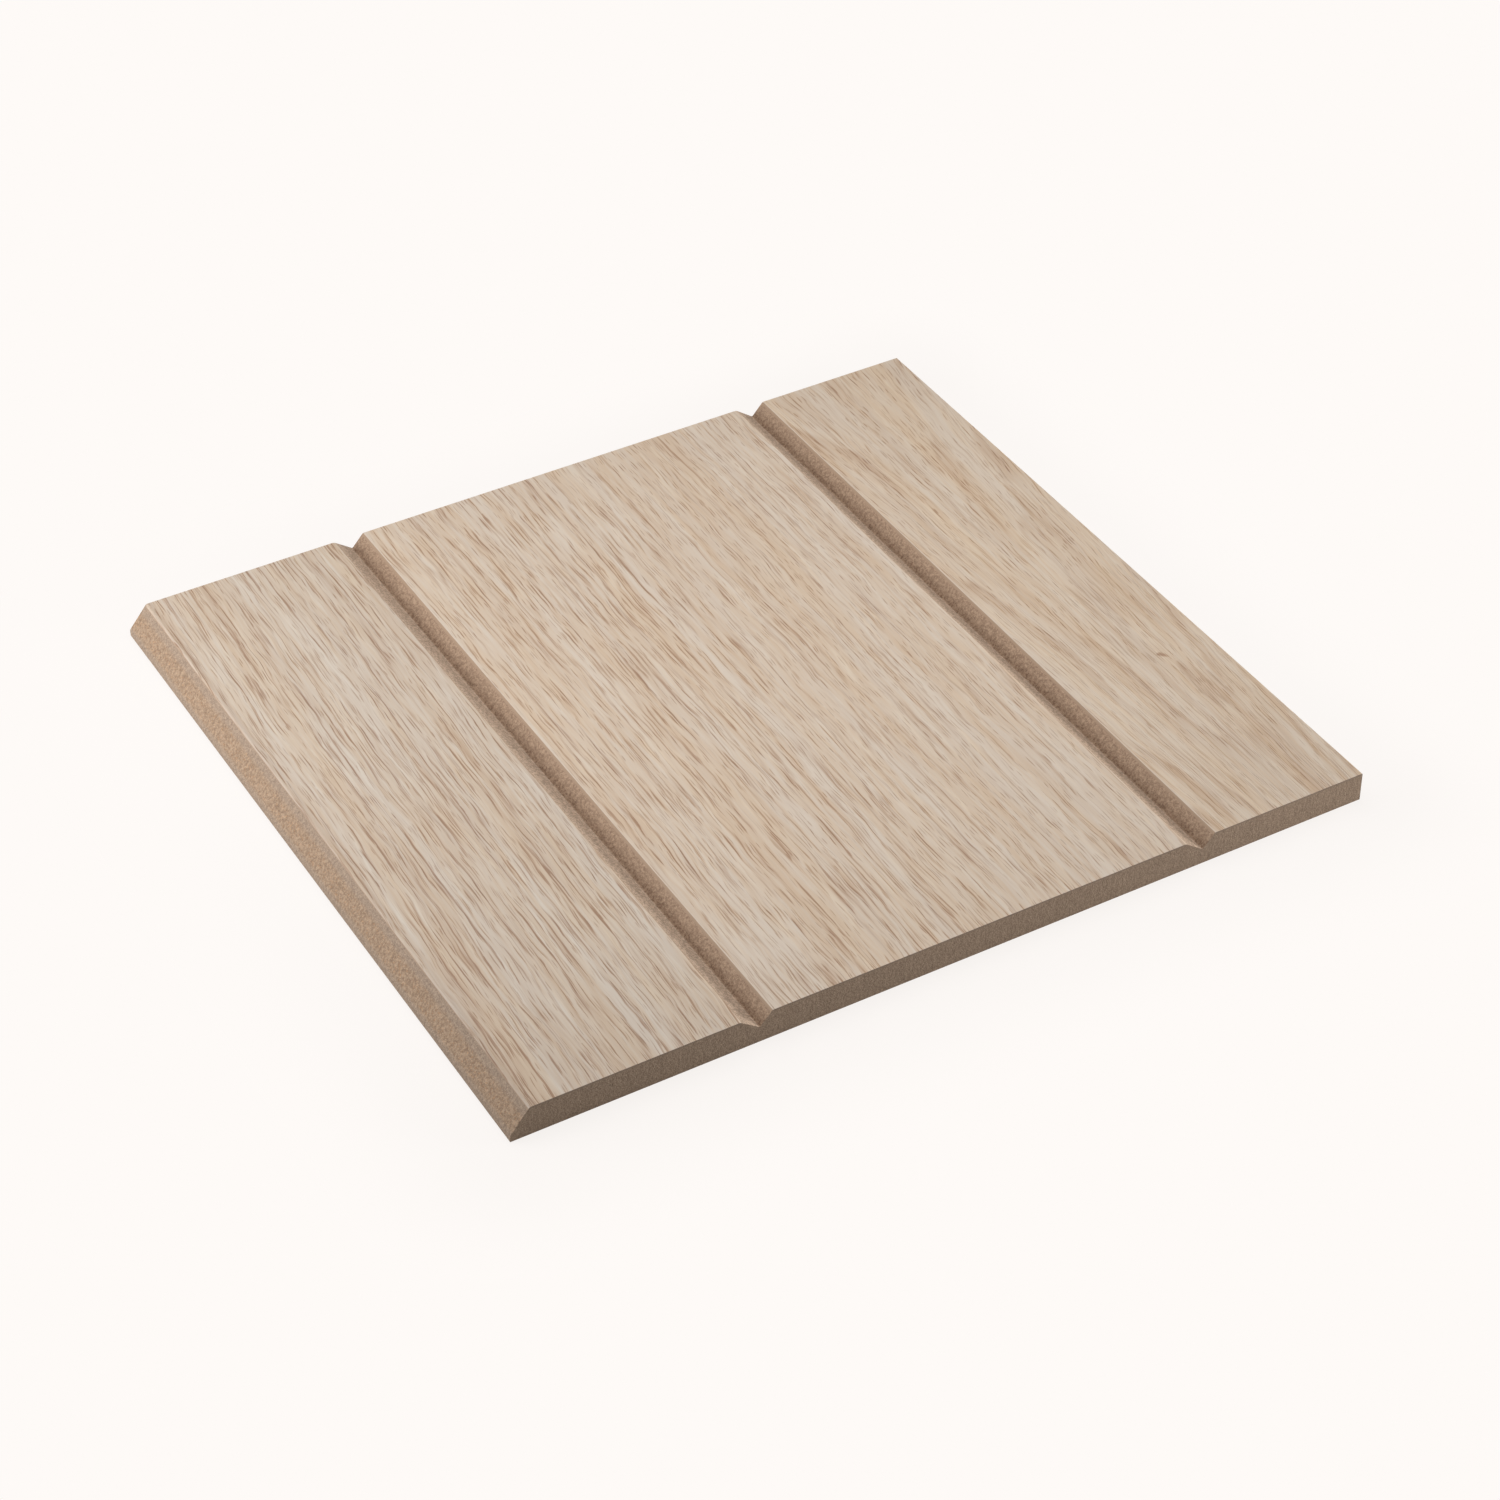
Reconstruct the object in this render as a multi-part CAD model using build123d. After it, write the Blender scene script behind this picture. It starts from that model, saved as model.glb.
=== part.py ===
"""V-groove wall panel: an oak-veneered fibreboard piece with V-grooves along its length and one bevelled edge.

The panel lies on its back. X runs across the grooves, from the bevelled edge to the square edge.
Y runs along the grooves. Z points out of the veneered face. The origin is the middle of the back.
"""

import os
from math import cos, pi, radians, sin, tan

from build123d import *

# Driving dimensions, in millimetres and degrees
panel_width = 286.0  # foot of the bevelled edge to the square edge
panel_length = 263.0  # along the grooves, between the two sawn ends
core_thickness = 9.4  # medium-density fibreboard
veneer_thickness = 0.6  # sliced oak, glued to the face
groove_spacing = 150.0  # floor to floor
first_groove = 78.1  # foot of the bevelled edge to the floor of the first groove
groove_depth = 4.4  # veneered face to the floor of the groove
gentle_wall_slope = 36.0  # wall on the side of the bevelled edge, measured from the face
steep_wall_slope = 48.0  # wall on the side of the square edge, measured from the face
groove_nose_radius = 0.4  # the cutter's tip, which rounds the floor
bevel_width = 6.4  # across the panel, from the foot of the edge to the veneered face
land_height = 2.2  # square land under the bevel, where the next panel butts
land_radius = 1.6  # sanded arris between the land and the bevel
soft_lip_radius = 2.4  # lip over each gentle wall, sanded well round
crisp_lip_radius = 1.0  # lip over each steep wall, and the arris along the top of the bevel
square_arris_radius = 0.4  # face arris of the square edge
cutter_overrun = 5.0  # how far each cutter reaches past the stock

# Levels and places that follow from them
face_level = core_thickness + veneer_thickness
edge_foot = -panel_width / 2
gentle_wall = radians(gentle_wall_slope)
steep_wall = radians(steep_wall_slope)


def tip_depth():
    """Face to the point where the two walls would meet, a little under the floor that the nose leaves."""
    half_angle = (pi - gentle_wall - steep_wall) / 2
    lean = (steep_wall - gentle_wall) / 2
    return groove_depth + groove_nose_radius * (cos(lean) / sin(half_angle) - 1)


def groove_places():
    """X of each groove: one spacing after another, for as long as a whole groove fits in the width."""
    last_place = panel_width - tip_depth() / tan(steep_wall)
    count = int((last_place - first_groove) // groove_spacing) + 1
    return [edge_foot + first_groove + n * groove_spacing for n in range(count)]


def along_panel(section):
    """A cutter with this section in the XZ plane, carried past both ends of the panel."""
    return extrude(Plane.XZ * section, amount=panel_length / 2 + cutter_overrun, both=True)


def groove_cutter(place):
    """The leaning V that one pass of the cutter sweeps out, open above the face and rounded at its tip."""
    height = tip_depth() + cutter_overrun
    tip = face_level - tip_depth()
    top = face_level + cutter_overrun
    steep_top = (place + height / tan(steep_wall), top)
    gentle_top = (place - height / tan(gentle_wall), top)
    vee = Polygon((place, tip), steep_top, gentle_top, align=None)
    vee = fillet(vee.vertices().sort_by(Axis.Y)[0], groove_nose_radius)
    return along_panel(vee)


def bevel_cutter():
    """The corner taken off the edge, from the land up to the face and past both."""
    slope = (face_level - land_height) / bevel_width
    outside = (edge_foot - cutter_overrun, land_height - cutter_overrun * slope)
    inside = (edge_foot + bevel_width + cutter_overrun, face_level + cutter_overrun * slope)
    return along_panel(Polygon(outside, inside, (outside[0], inside[1]), align=None))


def sheet(thickness, underside):
    """A plain rectangle of stock, before it is machined."""
    blank = Box(panel_width, panel_length, thickness, align=(Align.CENTER, Align.CENTER, Align.MIN))
    return Pos(0, 0, underside) * blank


def fibreboard_core(cutters):
    """The board itself, with its grooves, its bevel and the eased foot of the bevel."""
    core = sheet(core_thickness, 0) - cutters
    land_edge = core.edges().filter_by(Axis.Y).group_by(Axis.X)[0].sort_by(Axis.Z)[-1]
    return fillet(land_edge, land_radius)


def face_arrises(strip):
    """The long edges of a strip's show face, the one nearer the bevelled edge first."""
    return strip.edges().filter_by(Axis.Y).group_by(Axis.Z)[-1].sort_by(Axis.X)


def veneer_strips(cutters):
    """The strips of face veneer that the grooves leave, from the bevelled edge to the square edge."""
    veneer = sheet(veneer_thickness, core_thickness) - cutters
    blanks = veneer.solids().sort_by(Axis.X)
    far_radii = [soft_lip_radius] * (len(blanks) - 1) + [square_arris_radius]
    strips = []
    for blank, far_radius in zip(blanks, far_radii):
        strip = blank.fillet(crisp_lip_radius, face_arrises(blank)[:1])
        strips.append(strip.fillet(far_radius, face_arrises(strip)[-1:]))
    return strips


# The veneer is pressed on first, so one pass of each cutter goes through veneer and core alike
cutters = [bevel_cutter()] + [groove_cutter(place) for place in groove_places()]
pieces = {"mdf_core": fibreboard_core(cutters)}
for number, strip in enumerate(veneer_strips(cutters), start=1):
    pieces[f"veneer_strip_{number}"] = strip

os.makedirs("parts", exist_ok=True)
for name, piece in pieces.items():
    piece.label = name
    export_step(piece, f"parts/{name}.step")
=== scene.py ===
import math

import bpy
import numpy as np
from mathutils import Matrix, Vector


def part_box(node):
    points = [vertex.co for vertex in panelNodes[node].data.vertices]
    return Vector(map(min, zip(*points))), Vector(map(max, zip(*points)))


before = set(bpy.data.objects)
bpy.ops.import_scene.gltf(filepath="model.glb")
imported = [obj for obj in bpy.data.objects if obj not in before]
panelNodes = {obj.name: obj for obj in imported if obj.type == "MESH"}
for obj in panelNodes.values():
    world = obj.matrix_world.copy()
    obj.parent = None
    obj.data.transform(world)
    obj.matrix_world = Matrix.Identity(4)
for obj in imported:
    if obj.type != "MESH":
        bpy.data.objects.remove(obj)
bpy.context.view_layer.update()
scene = bpy.context.scene
print("frame loaded:", ", ".join(sorted(panelNodes)))

millimetre = 0.001
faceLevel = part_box("veneer_strip_1")[1].z / millimetre  # height of the veneered face
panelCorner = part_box("mdf_core")[1] / millimetre  # far corner at the square edge, top of the core


# Node helpers

def paint(red, green, blue):
    # screen colour from 0 to 255, as the linear colour that a socket holds
    c = np.array([red, green, blue]) / 255
    c = np.where(c <= 0.04045, c / 12.92, ((c + 0.055) / 1.055) ** 2.4)
    return (*c.tolist(), 1.0)


def addNode(tree, kind, inputs=None, **settings):
    # a node set out after the last one; an input is linked if it is a field or socket, and set otherwise
    made = tree.nodes.new(kind)
    place = len(tree.nodes)
    made.location = (190 * (place % 14), -260 * (place // 14))
    for name, value in settings.items():
        setattr(made, name, value)
    for name, value in (inputs or {}).items():
        plug(tree, made.inputs[name], value)
    return made


def plug(tree, socket, value):
    if isinstance(value, Field):
        value = value.socket
    if isinstance(value, bpy.types.NodeSocket):
        tree.links.new(value, socket)
    else:
        socket.default_value = value


class Field:
    # a number that varies over the surface; arithmetic on it adds the Math nodes of the formula
    def __init__(self, tree, socket):
        self.tree = tree
        self.socket = socket

    def math(self, operation, *others):
        made = addNode(self.tree, "ShaderNodeMath", operation=operation)
        for socket, value in zip(made.inputs, (self, *others)):
            plug(self.tree, socket, value)
        return Field(self.tree, made.outputs[0])

    def __add__(self, other):
        return self.math("ADD", other)

    def __sub__(self, other):
        return self.math("SUBTRACT", other)

    def __mul__(self, other):
        return self.math("MULTIPLY", other)

    def __truediv__(self, other):
        return self.math("DIVIDE", other)

    def rise(self, start, end):
        # 0 before start, 1 after end, smooth between; it falls where start is the larger
        made = addNode(self.tree, "ShaderNodeMapRange",
                       {"Value": self, "From Min": start, "From Max": end},
                       interpolation_type="SMOOTHSTEP")
        return Field(self.tree, made.outputs["Result"])


def position(tree):
    # x, y and z of the surface in the object's own frame, in millimetres
    place = addNode(tree, "ShaderNodeTexCoord").outputs["Object"]
    parts = addNode(tree, "ShaderNodeSeparateXYZ", {"Vector": place})
    return [Field(tree, parts.outputs[axis]) / millimetre for axis in "XYZ"]


def facing(tree):
    # the surface's normal in the object's own frame
    normal = addNode(tree, "ShaderNodeTexCoord").outputs["Normal"]
    parts = addNode(tree, "ShaderNodeSeparateXYZ", {"Vector": normal})
    return [Field(tree, parts.outputs[axis]) for axis in "XYZ"]


def noise(tree, x, y, z, detail=2.0, roughness=0.5):
    # smooth noise about zero, mostly from -1 to 1, on coordinates that are already scaled
    spot = addNode(tree, "ShaderNodeCombineXYZ", {"X": x, "Y": y, "Z": z}).outputs[0]
    made = addNode(tree, "ShaderNodeTexNoise",
                   {"Vector": spot, "Scale": 1.0, "Detail": detail, "Roughness": roughness})
    return (Field(tree, made.outputs["Fac"]) - 0.5) * 4.0


def mixColour(tree, amount, first, second, blend="MIX"):
    # the Mix node's colour sockets come after those for numbers and vectors
    made = addNode(tree, "ShaderNodeMix", {"Factor": amount}, data_type="RGBA", blend_type=blend)
    plug(tree, made.inputs[6], first)
    plug(tree, made.inputs[7], second)
    return made.outputs[2]


def ramp(tree, amount, stops):
    # colours in order, each at its place from 0 to 1
    made = addNode(tree, "ShaderNodeValToRGB", {"Fac": amount})
    elements = made.color_ramp.elements
    while len(elements) < len(stops):
        elements.new(0.5)
    for element, (place, colour) in zip(elements, stops):
        element.position = place
        element.color = paint(*colour)
    return made.outputs["Color"]


def newMaterial(name):
    made = bpy.data.materials.new(name)
    made.use_nodes = True
    made.node_tree.nodes.clear()
    return made, made.node_tree


def newGroup(name, inputs, outputs):
    # a shader node group, its input fields by name, and its output node
    tree = bpy.data.node_groups.new(name, "ShaderNodeTree")
    for title in inputs:
        tree.interface.new_socket(title, in_out="INPUT", socket_type="NodeSocketFloat")
    for title, kind in outputs.items():
        tree.interface.new_socket(title, in_out="OUTPUT", socket_type="NodeSocket" + kind)
    entry = addNode(tree, "NodeGroupInput")
    fields = {title: Field(tree, entry.outputs[title]) for title in inputs}
    return tree, fields, addNode(tree, "NodeGroupOutput")


def finishSurface(tree, colour, roughness, height, finish):
    depth = finish["relief"] * millimetre
    bump = addNode(tree, "ShaderNodeBump", {"Height": height, "Distance": depth})
    shader = addNode(tree, "ShaderNodeBsdfPrincipled", {
        "Base Color": colour, "Roughness": roughness, "Normal": bump.outputs["Normal"],
        "Specular IOR Level": finish["shine"]})
    addNode(tree, "ShaderNodeOutputMaterial", {"Surface": shader.outputs[0]})


# Camera, placed from the photograph's straight edges

photoCamera = {
    "aim": (-8.77, -29.17, 10.0),  # point at the middle of the picture, in millimetres
    "distance": 1130.2,
    "azimuth": -29.797,
    "elevation": 38.935,
    "roll": -0.448,
    "lens": 90.18,
}


def towards(azimuth, elevation):
    # unit vector out from the panel; azimuth 0 is off the near end and 90 off the square edge
    a = math.radians(azimuth)
    e = math.radians(elevation)
    return Vector((math.sin(a) * math.cos(e), -math.cos(a) * math.cos(e), math.sin(e)))


def addCamera(view):
    aim = Vector(view["aim"]) * millimetre
    out = towards(view["azimuth"], view["elevation"])
    data = bpy.data.cameras.new("photoCamera")
    data.lens = view["lens"]
    camera = bpy.data.objects.new("photoCamera", data)
    turn = (-out).to_track_quat("-Z", "Y").to_matrix().to_4x4()
    roll = Matrix.Rotation(math.radians(view["roll"]), 4, "Z")
    place = aim + out * view["distance"] * millimetre
    camera.matrix_world = Matrix.Translation(place) @ turn @ roll
    scene.collection.objects.link(camera)
    scene.camera = camera


addCamera(photoCamera)
print("camera placed")


# Studio: three softboxes, a faint even sky and a pale floor

softboxes = {  # angles in degrees, lengths in metres
    "topBox": {
        "azimuth": 125.5, "elevation": 82.8, "distance": 0.45,
        "wide": 0.5, "high": 0.5, "watts": 1.79,
    },
    "keyBox": {
        "azimuth": 251.2, "elevation": 19.0, "distance": 0.45,
        "wide": 0.36, "high": 0.29, "watts": 1.21,
    },
    "fillBox": {
        "azimuth": 54.5, "elevation": 9.0, "distance": 1.01,
        "wide": 0.5, "high": 0.26, "watts": 5.99,
    },
}
studio = {
    "backdrop": (254, 250, 247),
    "sky": 0.02,
    "floorReach": 6.0,  # metres
    "floorTone": 0.5,  # how much light the floor gives back to the panel
    "shadowShare": 0.12,  # how much of the floor is lit next to the panel, and so shows its shadow
    "shadowReach": 50.0,  # millimetres from the panel to where the backdrop is even
}


def addSoftbox(name, box):
    data = bpy.data.lights.new(name, "AREA")
    data.shape = "RECTANGLE"
    data.size = box["wide"]
    data.size_y = box["high"]
    data.energy = box["watts"]
    lamp = bpy.data.objects.new(name, data)
    out = towards(box["azimuth"], box["elevation"])
    lamp.location = out * box["distance"]
    lamp.rotation_euler = (-out).to_track_quat("-Z", "Y").to_euler()
    lamp.visible_camera = False
    scene.collection.objects.link(lamp)


def shownDirectly(tree):
    # 1 for rays that show the backdrop itself: seen, mirrored or through glass
    path = addNode(tree, "ShaderNodeLightPath").outputs
    seen = Field(tree, path["Is Camera Ray"])
    return seen.math("MAXIMUM", path["Is Glossy Ray"]).math("MAXIMUM", path["Is Transmission Ray"])


def mixShaders(tree, amount, first, second):
    made = addNode(tree, "ShaderNodeMixShader", {"Fac": amount})
    tree.links.new(first.outputs[0], made.inputs[1])
    tree.links.new(second.outputs[0], made.inputs[2])
    return made


def addWorld(values):
    scene.world = bpy.data.worlds.new("studioSky")
    scene.world.use_nodes = True
    tree = scene.world.node_tree
    tree.nodes.clear()
    backdrop = paint(*values["backdrop"])
    light = addNode(tree, "ShaderNodeBackground", {"Color": (1, 1, 1, 1), "Strength": values["sky"]})
    shown = addNode(tree, "ShaderNodeBackground", {"Color": backdrop, "Strength": 1.0})
    mix = mixShaders(tree, shownDirectly(tree), light, shown)
    addNode(tree, "ShaderNodeOutputWorld", {"Surface": mix.outputs[0]})


def floorMaterial(values):
    made, tree = newMaterial("studioFloor")
    x, y = position(tree)[:2]
    backdrop = paint(*values["backdrop"])
    sideways = (x.math("ABSOLUTE") - panelCorner.x).math("MAXIMUM", 0.0)
    lengthways = (y.math("ABSOLUTE") - panelCorner.y).math("MAXIMUM", 0.0)
    outside = (sideways * sideways + lengthways * lengthways).math("SQRT")  # distance from the panel
    litShare = outside.rise(values["shadowReach"], 0.0) * values["shadowShare"]
    glow = addNode(tree, "ShaderNodeEmission", {"Color": backdrop, "Strength": 1.0})
    lit = addNode(tree, "ShaderNodeBsdfDiffuse", {"Color": backdrop})
    plain = addNode(tree, "ShaderNodeBsdfDiffuse", {"Color": (*[values["floorTone"]] * 3, 1.0)})
    seen = mixShaders(tree, litShare, glow, lit)
    mix = mixShaders(tree, shownDirectly(tree), plain, seen)
    addNode(tree, "ShaderNodeOutputMaterial", {"Surface": mix.outputs[0]})
    return made


def addFloor(values):
    # a level square
    corners = np.array([(-1, -1, 0), (1, -1, 0), (1, 1, 0), (-1, 1, 0)]) * values["floorReach"]
    mesh = bpy.data.meshes.new("studioFloor")
    mesh.from_pydata(corners.tolist(), [], [(0, 1, 2, 3)])
    mesh.materials.append(floorMaterial(values))
    floor = bpy.data.objects.new("studioFloor", mesh)
    scene.collection.objects.link(floor)


for boxName, box in softboxes.items():
    addSoftbox(boxName, box)
addWorld(studio)
addFloor(studio)
scene.view_settings.view_transform = "Standard"
print("studio set:", len(softboxes), "softboxes, sky and floor")


# Oak veneer: one figure, with each strip's own growth rings and pores

veneerFinish = {
    "relief": 0.05,
    "shine": 0.25,
    "tones": [  # from the palest latewood to the inside of a pore
        (0.0, (221, 207, 190)),
        (0.35, (207, 188, 168)),
        (0.7, (185, 160, 139)),
        (1.0, (164, 136, 115)),
    ],
    "grey": (0.974, 0.975, 0.976, 1.0),  # tints of the greyer and the more golden streaks
    "golden": (1.021, 0.981, 0.909, 1.0),
    "arris": (222, 205, 188),  # pale line along each crisp lip, and the cut edge beyond it
    "cutEdge": (174, 148, 125),
    "cutStart": 0.35,  # under the face, in millimetres
    "cutFull": 0.5,
    "endGrain": (149, 129, 112),
    "bevelEnd": -131.0,  # the bevelled edge has no pale line
    "bevelShade": (0.885, 0.86, 0.85, 1.0),  # painted shade: tint of the darker line that dulls the lit rounding along the bevelled edge
    "bevelShadeStart": -134.3,
    "bevelShadeFull": -135.2,
    "knotTone": 0.7,
}
poreSizes = {  # space and pitch between pores, then their width and length, in millimetres
    "threads": (4.8, 90.0, 0.6, 80.0),
    "fine": (0.9, 9.0, 0.34, 6.5),
}
grainNoises = {  # turns per millimetre across and along the grain, a step from the seed, then the swing
    "bend": (0.035, 0.012, 0.0, 0.9),
    "ringDrift": (0.06, 0.01, 2.0, 0.8),
    "wander": (0.16, 0.045, 3.0, 0.55),
    "ringPatch": (0.18, 0.04, 4.0, 0.5),
    "lines": (1.0, 0.035, 6.0, 1.0),
    "gleam": (0.55, 0.035, 7.0, 1.0),
    "narrowBand": (0.4, 0.016, 8.0, 1.0),
    "wideBand": (0.14, 0.006, 9.0, 1.0),
    "widePatch": (0.1, 0.005, 11.0, 1.0),
    "narrowPatch": (0.32, 0.011, 12.0, 1.0),
    "crowding": (0.12, 0.03, 13.0, 0.2),
    "streaks": (1.1, 0.04, 14.0, 1.0),
}
figureDepths = {  # shared by the boards; tones run from 0 to 1, and so do hues, from grey to golden
    "smoothLoss": 0.72,  # share of the coarse pores that a board's smooth part lacks
    "gleamTone": 0.2,
    "patchTone": 0.09,
    "haloTone": 0.05,
    "middleHue": 0.42,
    "patchHue": 0.5,
    "haloHue": 0.3,
}
oakBoards = {  # lengths in millimetres; a board whose smooth part starts off the panel is coarse all over
    "veneer_strip_1": {
        "Seed": 3.0, "Base": 0.235, "Warmth": 0.0,
        "Lean": 0.03, "Fan": 0.0, "Heart": -260.0, "Flatness": 0.0, "Opening": -0.02, "Tip": 0.0,
        "Bow": 0.0, "Ring Width": 5.2, "Ring Depth": 0.08, "Ring Line": 0.16,
        "Pore Space": 2.0, "Pore Pitch": 26.0, "Pore Width": 0.5, "Pore Length": 17.0,
        "Pore Tilt": 0.025, "Pore Depth": 0.5, "Fine Depth": 0.42, "Thread Depth": 0.53,
        "Line Depth": 0.67, "Band Depth": 0.11, "Line Scale": 1.3, "Halo": 0.5,
        "Smooth Start": 900.0, "Smooth Fade": 1.0,
        "tint": (0.975, 0.987, 1.02, 1.0),
    },
    "veneer_strip_2": {
        "Seed": 17.0, "Base": 0.155, "Warmth": 0.02,
        "Lean": 0.015, "Fan": 0.0, "Heart": -330.0, "Flatness": 0.0, "Opening": 0.03, "Tip": 0.0,
        "Bow": 0.0015, "Ring Width": 5.5, "Ring Depth": 0.06, "Ring Line": 0.04,
        "Pore Space": 1.45, "Pore Pitch": 29.0, "Pore Width": 0.58, "Pore Length": 20.0,
        "Pore Tilt": 0.03, "Pore Depth": 0.46, "Fine Depth": 0.47, "Thread Depth": 0.42,
        "Line Depth": 0.55, "Band Depth": 0.08, "Line Scale": 0.8, "Halo": 1.0,
        "Smooth Start": -5.0, "Smooth Fade": 40.0,
        "tint": (1.013, 0.998, 1.006, 1.0),
    },
    "veneer_strip_3": {
        "Seed": 29.0, "Base": 0.085, "Warmth": 0.0,
        "Lean": 0.03, "Fan": 0.0027, "Heart": 118.0, "Flatness": 6.0, "Opening": 0.087, "Tip": -121.0,
        "Bow": 0.0, "Ring Width": 12.5, "Ring Depth": 0.41, "Ring Line": 0.1,
        "Pore Space": 1.4, "Pore Pitch": 22.0, "Pore Width": 0.42, "Pore Length": 16.0,
        "Pore Tilt": 0.025, "Pore Depth": 0.26, "Fine Depth": 0.47, "Thread Depth": 0.2,
        "Line Depth": 0.48, "Band Depth": 0.08, "Line Scale": 1.9, "Halo": 0.5,
        "Smooth Start": 900.0, "Smooth Fade": 1.0,
        "tint": (1.008, 0.978, 0.962, 1.0),
        "knot": (124.5, -52.8, 1.5),
    },
}


def poreGroup():
    # pores cut lengthways: one slanting lens about each scattered point, with a wider, softer one
    # round it; the amount is the share of points that have a pore
    titles = ["Across", "Along", "Space", "Pitch", "Width", "Length", "Tilt", "Amount", "Seed"]
    tree, given, out = newGroup("poreDashes", titles, {"Dashes": "Float", "Halo": "Float"})
    across = given["Across"] / given["Space"] + given["Seed"] * 7.3  # each seed has its own points
    along = given["Along"] / given["Pitch"] + given["Seed"] * 3.1
    spot = addNode(tree, "ShaderNodeCombineXYZ", {"X": across, "Y": along})
    points = addNode(tree, "ShaderNodeTexVoronoi",
                     {"Vector": spot.outputs[0], "Scale": 1.0, "Randomness": 0.75},
                     voronoi_dimensions="2D")
    middle = addNode(tree, "ShaderNodeSeparateXYZ", {"Vector": points.outputs["Position"]})
    chance = addNode(tree, "ShaderNodeSeparateColor", {"Color": points.outputs["Color"]})
    present, wide, long = [Field(tree, socket) for socket in chance.outputs]
    ahead = (along - middle.outputs["Y"]) * given["Pitch"]
    slant = ((wide * 7.0).math("FRACT") - 0.5) * given["Tilt"] * 2.0
    aside = (across - middle.outputs["X"]) * given["Space"] - ahead * slant
    side = aside / (given["Width"] * (wide * 0.4 + 0.3))
    end = ahead / (given["Length"] * (long * 0.4 + 0.3))
    there = (given["Amount"] - present).rise(-0.05, 0.35)
    lens = (side * side + end * end).math("SQRT").rise(1.0, 0.45)
    halo = (side * side * 0.06 + end * end * 0.6).math("SQRT").rise(1.0, 0.1)
    plug(tree, out.inputs["Dashes"], lens * there)
    plug(tree, out.inputs["Halo"], halo * there)
    return tree


def oakGroup(pores):
    # fibre line = x less its lean and fan along y; ring number = rounded distance from the heart line,
    # bowed and opening along y, over the ring width; early wood follows the start of each ring
    titles = [title for title in oakBoards["veneer_strip_1"] if title != "tint"]
    results = {"Darkness": "Float", "Pores": "Float", "Hue": "Float"}
    tree, given, out = newGroup("oakFigure", titles, results)
    x, y = position(tree)[:2]
    seed = given["Seed"]

    def grainNoise(title, across, roughness=0.5):
        acrossScale, alongScale, step, swing = grainNoises[title]
        return noise(tree, across * acrossScale, y * alongScale, seed + step, 2.0, roughness) * swing

    lean = given["Lean"] + given["Fan"] * (x - given["Heart"])
    fibre = x - lean * y + grainNoise("bend", x)
    side = fibre - given["Heart"]
    rounded = (side * side + given["Flatness"] * given["Flatness"]).math("SQRT")
    above = y.math("MAXIMUM", 0.0)
    opened = rounded + given["Bow"] * above * above * 0.5 - given["Opening"] * (y - given["Tip"])
    ring = opened / given["Ring Width"] + grainNoise("ringDrift", fibre)
    phase = ring.math("FRACT")
    ringChance = addNode(tree, "ShaderNodeTexWhiteNoise", {"W": ring.math("FLOOR") + seed},
                         noise_dimensions="1D")
    strength = Field(tree, ringChance.outputs["Value"]) * 0.6 + 0.4
    patchy = (grainNoise("ringPatch", fibre) + 0.7).math("MAXIMUM", 0.0) * strength
    early = phase.rise(0.0, 0.15) * phase.rise(0.8, 0.2) * patchy
    ringLine = phase.rise(0.0, 0.05) * phase.rise(0.25, 0.07) * patchy
    smoothEnd = given["Smooth Start"] + given["Smooth Fade"]
    coarseness = x.rise(given["Smooth Start"], smoothEnd) * -figureDepths["smoothLoss"] + 1.0
    wander = fibre + grainNoise("wander", fibre)

    def dashes(sizes, tilt, amount, seedStep):
        made = addNode(tree, "ShaderNodeGroup", node_tree=pores)
        values = dict(zip(("Space", "Pitch", "Width", "Length"), sizes))
        values.update({"Across": wander, "Along": y, "Tilt": tilt, "Amount": amount})
        values["Seed"] = seed + seedStep
        for title, value in values.items():
            plug(tree, made.inputs[title], value)
        return Field(tree, made.outputs["Dashes"]), Field(tree, made.outputs["Halo"])

    boardSizes = [given["Pore " + title] for title in ("Space", "Pitch", "Width", "Length")]
    coarse, halo = dashes(boardSizes, given["Pore Tilt"], (early * 0.3 + 0.85) * coarseness, 0.0)
    crowded = grainNoise("crowding", fibre) + 0.9 - coarseness * 0.25
    fine = dashes(poreSizes["fine"], 0.03, crowded, 5.0)[0]
    threads = dashes(poreSizes["threads"], 0.01, 0.85, 8.0)[0]
    across = wander * given["Line Scale"]
    lines = grainNoise("lines", across, 0.6).rise(0.0, 1.0) * (coarseness * 0.2 + 0.8)
    gleam = grainNoise("gleam", across).rise(0.1, 1.0)
    band = grainNoise("narrowBand", fibre) + grainNoise("wideBand", fibre)
    patches = grainNoise("widePatch", fibre) + grainNoise("narrowPatch", wander)
    patches = patches + grainNoise("streaks", wander)
    halo = halo * given["Halo"]
    rings = early * given["Ring Depth"] + ringLine * given["Ring Line"]
    pore = coarse * given["Pore Depth"] + fine * given["Fine Depth"] + threads * given["Thread Depth"]
    grain = lines * given["Line Depth"] - gleam * figureDepths["gleamTone"] + band * given["Band Depth"]
    tan = patches * figureDepths["patchTone"] + halo * figureDepths["haloTone"]
    hue = patches * figureDepths["patchHue"] + halo * figureDepths["haloHue"] + figureDepths["middleHue"]
    plug(tree, out.inputs["Darkness"], given["Base"] + rings + pore + grain + tan)
    plug(tree, out.inputs["Pores"], coarse.math("MAXIMUM", fine * 0.6).math("MAXIMUM", threads * 0.5))
    plug(tree, out.inputs["Hue"], hue + given["Warmth"])
    return tree


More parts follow.
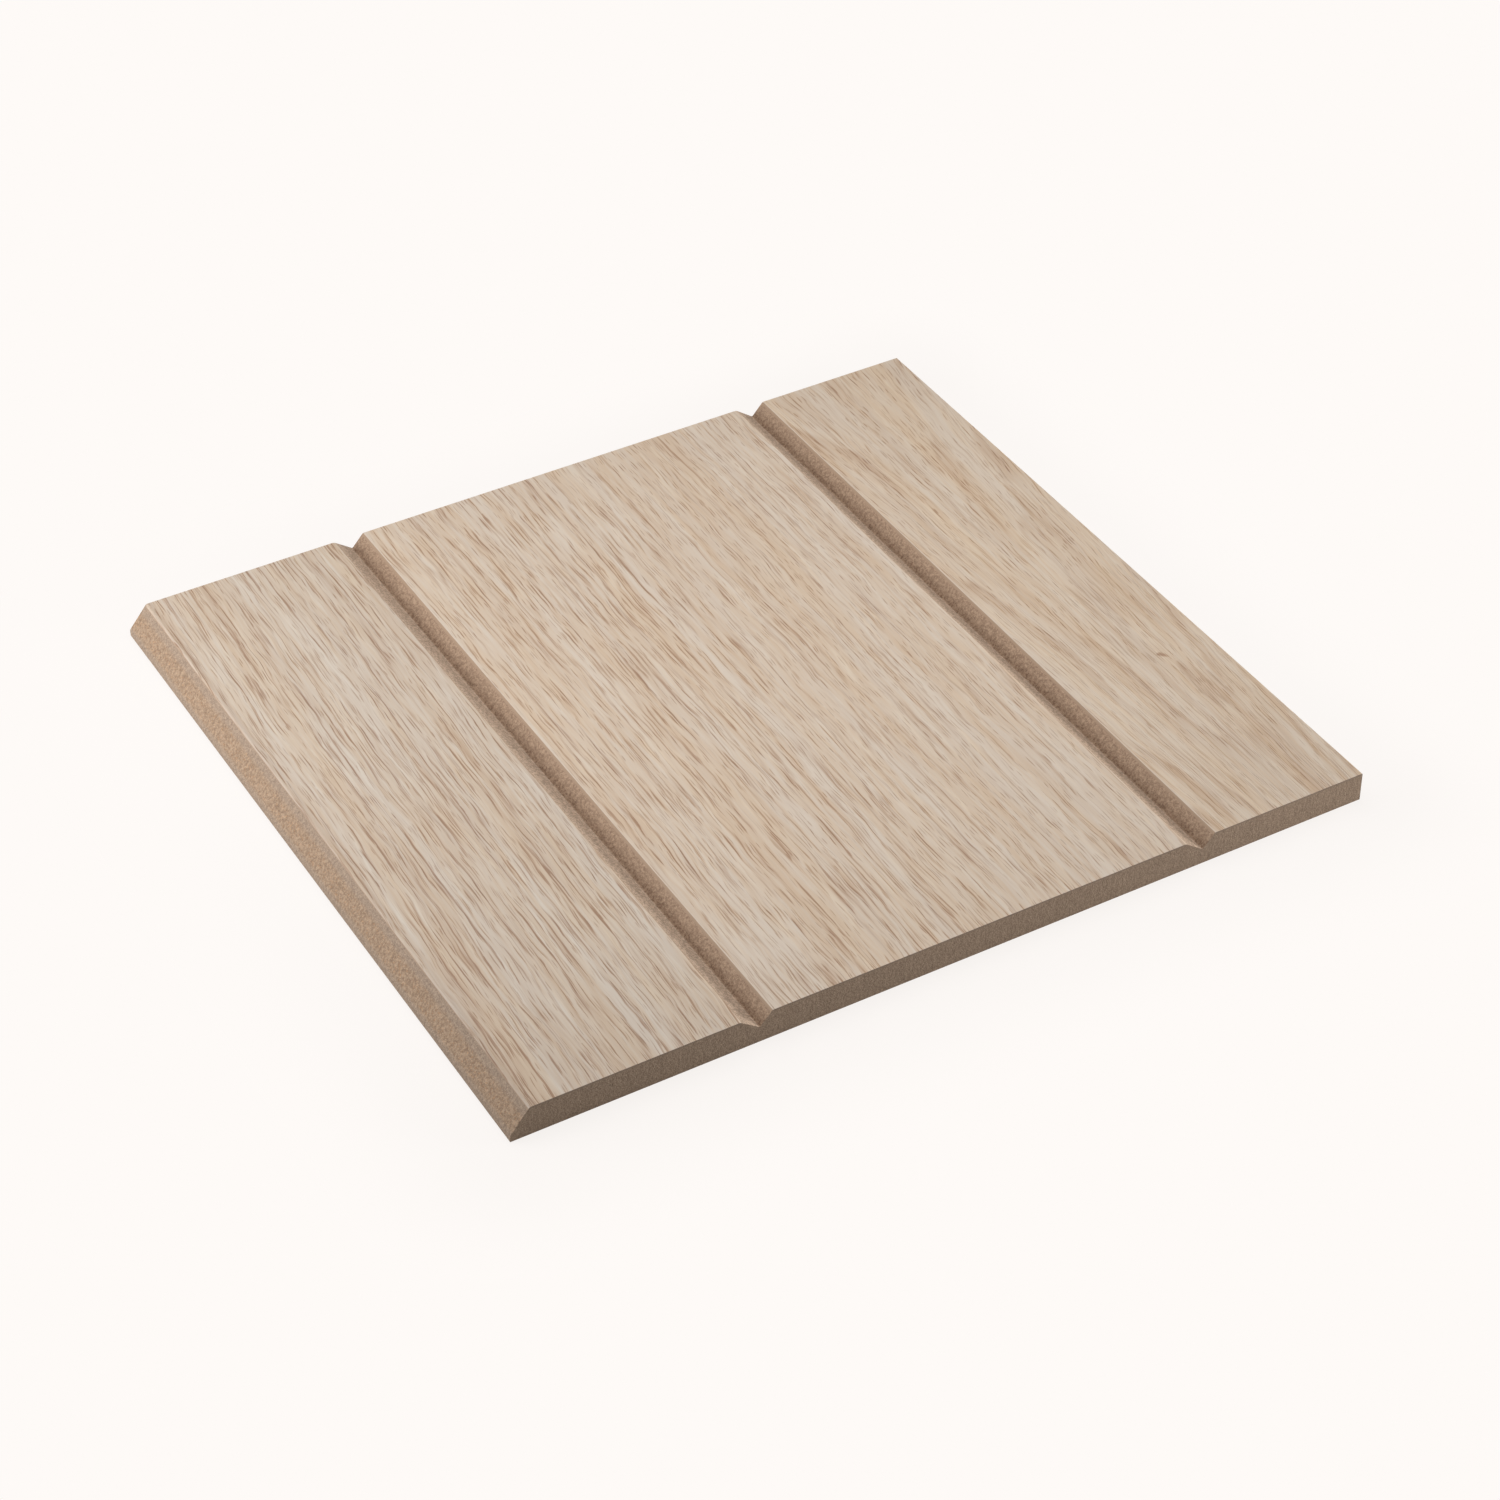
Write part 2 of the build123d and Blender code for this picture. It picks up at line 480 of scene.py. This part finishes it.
def veneerMaterial(name, board, group, finish):
    made, tree = newMaterial("oak_" + name)
    x, y, z = position(tree)
    awayX, awayY = facing(tree)[:2]
    figure = addNode(tree, "ShaderNodeGroup", node_tree=group)
    for title in figure.inputs.keys():
        figure.inputs[title].default_value = board[title]
    dark = Field(tree, figure.outputs["Darkness"])
    pores = Field(tree, figure.outputs["Pores"])
    if "knot" in board:
        knotX, knotY, knotSize = board["knot"]
        offY = y - knotY
        offX = x - knotX + offY.math("MINIMUM", 0.0) * 0.6  # its tail runs down to the right
        tail = offY * offY.rise(0.5, -0.5) * 0.5 + offY * offY.rise(-0.5, 0.5)
        knot = (offX * offX + tail * tail).math("SQRT").rise(knotSize, knotSize * 0.2)
        dark = dark + knot * finish["knotTone"]
    colour = ramp(tree, dark, finish["tones"])
    hue = mixColour(tree, figure.outputs["Hue"], finish["grey"], finish["golden"])
    colour = mixColour(tree, 1.0, colour, hue, "MULTIPLY")
    colour = mixColour(tree, 1.0, colour, board["tint"], "MULTIPLY")
    # painted shade: a darker line along the lit rounding of the bevelled edge
    bevelShade = x.rise(finish["bevelShadeStart"], finish["bevelShadeFull"])
    colour = mixColour(tree, bevelShade, colour, finish["bevelShade"], "MULTIPLY")
    grooves = x.rise(finish["bevelEnd"], finish["bevelEnd"] + 1.0)
    colour = mixColour(tree, awayX.rise(-0.02, -0.15) * grooves, colour, paint(*finish["arris"]))
    under = z.rise(faceLevel - finish["cutStart"], faceLevel - finish["cutFull"])
    cut = (awayX.rise(-0.2, -0.4) * grooves).math("MAXIMUM", under)
    colour = mixColour(tree, cut, colour, paint(*finish["cutEdge"]))
    ends = awayY.math("ABSOLUTE").rise(0.6, 0.9)
    colour = mixColour(tree, ends, colour, paint(*finish["endGrain"]))
    roughness = pores * 0.12 + 0.62
    finishSurface(tree, colour, roughness, pores * -1.0, finish)
    return made


# Fibreboard: tan and speckled, greyer at the top and foot of the bevel, sawn at the ends, with painted
# light on the gentle groove walls and painted shade at the groove floors

boardFinish = {
    "relief": 0.05,
    "shine": 0.2,
    "core": (169, 142, 120),  # steep walls of the grooves
    "bevel": (163, 138, 115),
    "skin": (161, 143, 127),  # along the top and the foot of the bevel
    "litGentleWall": (195, 173, 153),  # painted light: the gentle walls of the grooves, paler than the fill lamp leaves them
    "floorShade": (140, 113, 93),  # painted shade: steep walls, darker down at the floor
    "sawn": (155, 134, 115),
    "chip": (186, 138, 95),  # orange chips, on the bevel
    "light": (226, 196, 168),  # palest and darkest fibres of the speckle
    "shade": (96, 70, 52),
    "bevelStart": -130.0,  # places across the panel, in millimetres
    "bevelFull": -133.0,
    "skinStart": 6.6,  # heights, in millimetres
    "skinFull": 8.2,
    "footStart": 3.6,
    "footFull": 2.4,
    "floorShadeStart": 8.0,
    "floorShadeFull": 5.8,
    "speckle": 3.4,
}


def fibreboardMaterial(finish):
    made, tree = newMaterial("fibreboard")
    x, y, z = position(tree)
    awayX, awayY, awayZ = facing(tree)
    fine = noise(tree, x * 2.6, y * 2.6, z * 2.6, 2.0, 0.6)
    coarse = noise(tree, x * 1.1 + 40.0, y * 1.1, z * 1.1, 2.0, 0.6)
    front = awayZ.rise(-0.9, -0.5)  # all but the back
    bevel = x.rise(finish["bevelStart"], finish["bevelFull"]) * front
    foot = z.rise(finish["footStart"], finish["footFull"])
    skin = z.rise(finish["skinStart"], finish["skinFull"]).math("MAXIMUM", foot) * bevel
    chips = noise(tree, x * 1.5, y * 1.5, z * 1.5 + 9.0).rise(0.25, 0.7)
    chips = chips * bevel * (skin * -0.8 + 1.0)
    # painted light: the gentle groove walls, facing the square edge, made paler in patches
    litPatchiness = noise(tree, x * 0.5, y * 0.4, z * 0.5 + 5.0, 3.0, 0.6) * 0.25 + 0.92
    paintedLight = awayX.rise(0.2, 0.5) * litPatchiness
    sawn = awayY.math("ABSOLUTE").rise(0.6, 0.9).math("MAXIMUM", awayX.rise(0.8, 0.95))
    marks = noise(tree, x * 1.1 + y * 1.1, z * 0.05, 7.0, 2.0, 0.6)
    colour = mixColour(tree, bevel, paint(*finish["core"]), paint(*finish["bevel"]))
    colour = mixColour(tree, skin, colour, paint(*finish["skin"]))
    colour = mixColour(tree, chips * 0.6, colour, paint(*finish["chip"]))
    # painted shade: steep groove walls darkened towards the groove floor
    floorShade = z.rise(finish["floorShadeStart"], finish["floorShadeFull"]) * (bevel * -1.0 + 1.0) * front
    colour = mixColour(tree, floorShade, colour, paint(*finish["floorShade"]))
    colour = mixColour(tree, paintedLight, colour, paint(*finish["litGentleWall"]))
    colour = mixColour(tree, sawn, colour, paint(*finish["sawn"]))
    clumps = coarse * 0.16 * (skin * -0.4 + 1.0) * (sawn * -0.6 + 1.0)
    speck = fine * 0.14 + clumps + marks * sawn * 0.035
    speck = speck * (paintedLight * (sawn * -1.0 + 1.0) * 1.8 + 1.15)
    light = mixColour(tree, 0.35, colour, paint(*finish["light"]))
    shade = mixColour(tree, 0.35, colour, paint(*finish["shade"]))
    colour = mixColour(tree, speck * finish["speckle"] + 0.5, shade, light)
    finishSurface(tree, colour, fine * 0.04 + 0.75, fine * 0.5 + coarse, finish)
    return made


figureGroup = oakGroup(poreGroup())
finishes = {}
for name, board in oakBoards.items():
    finishes[name] = veneerMaterial(name, board, figureGroup, veneerFinish)
finishes["mdf_core"] = fibreboardMaterial(boardFinish)
for name, node in panelNodes.items():
    for slot in node.material_slots:
        slot.material = finishes[name]
print("finishes set:", ", ".join(sorted(finishes)))
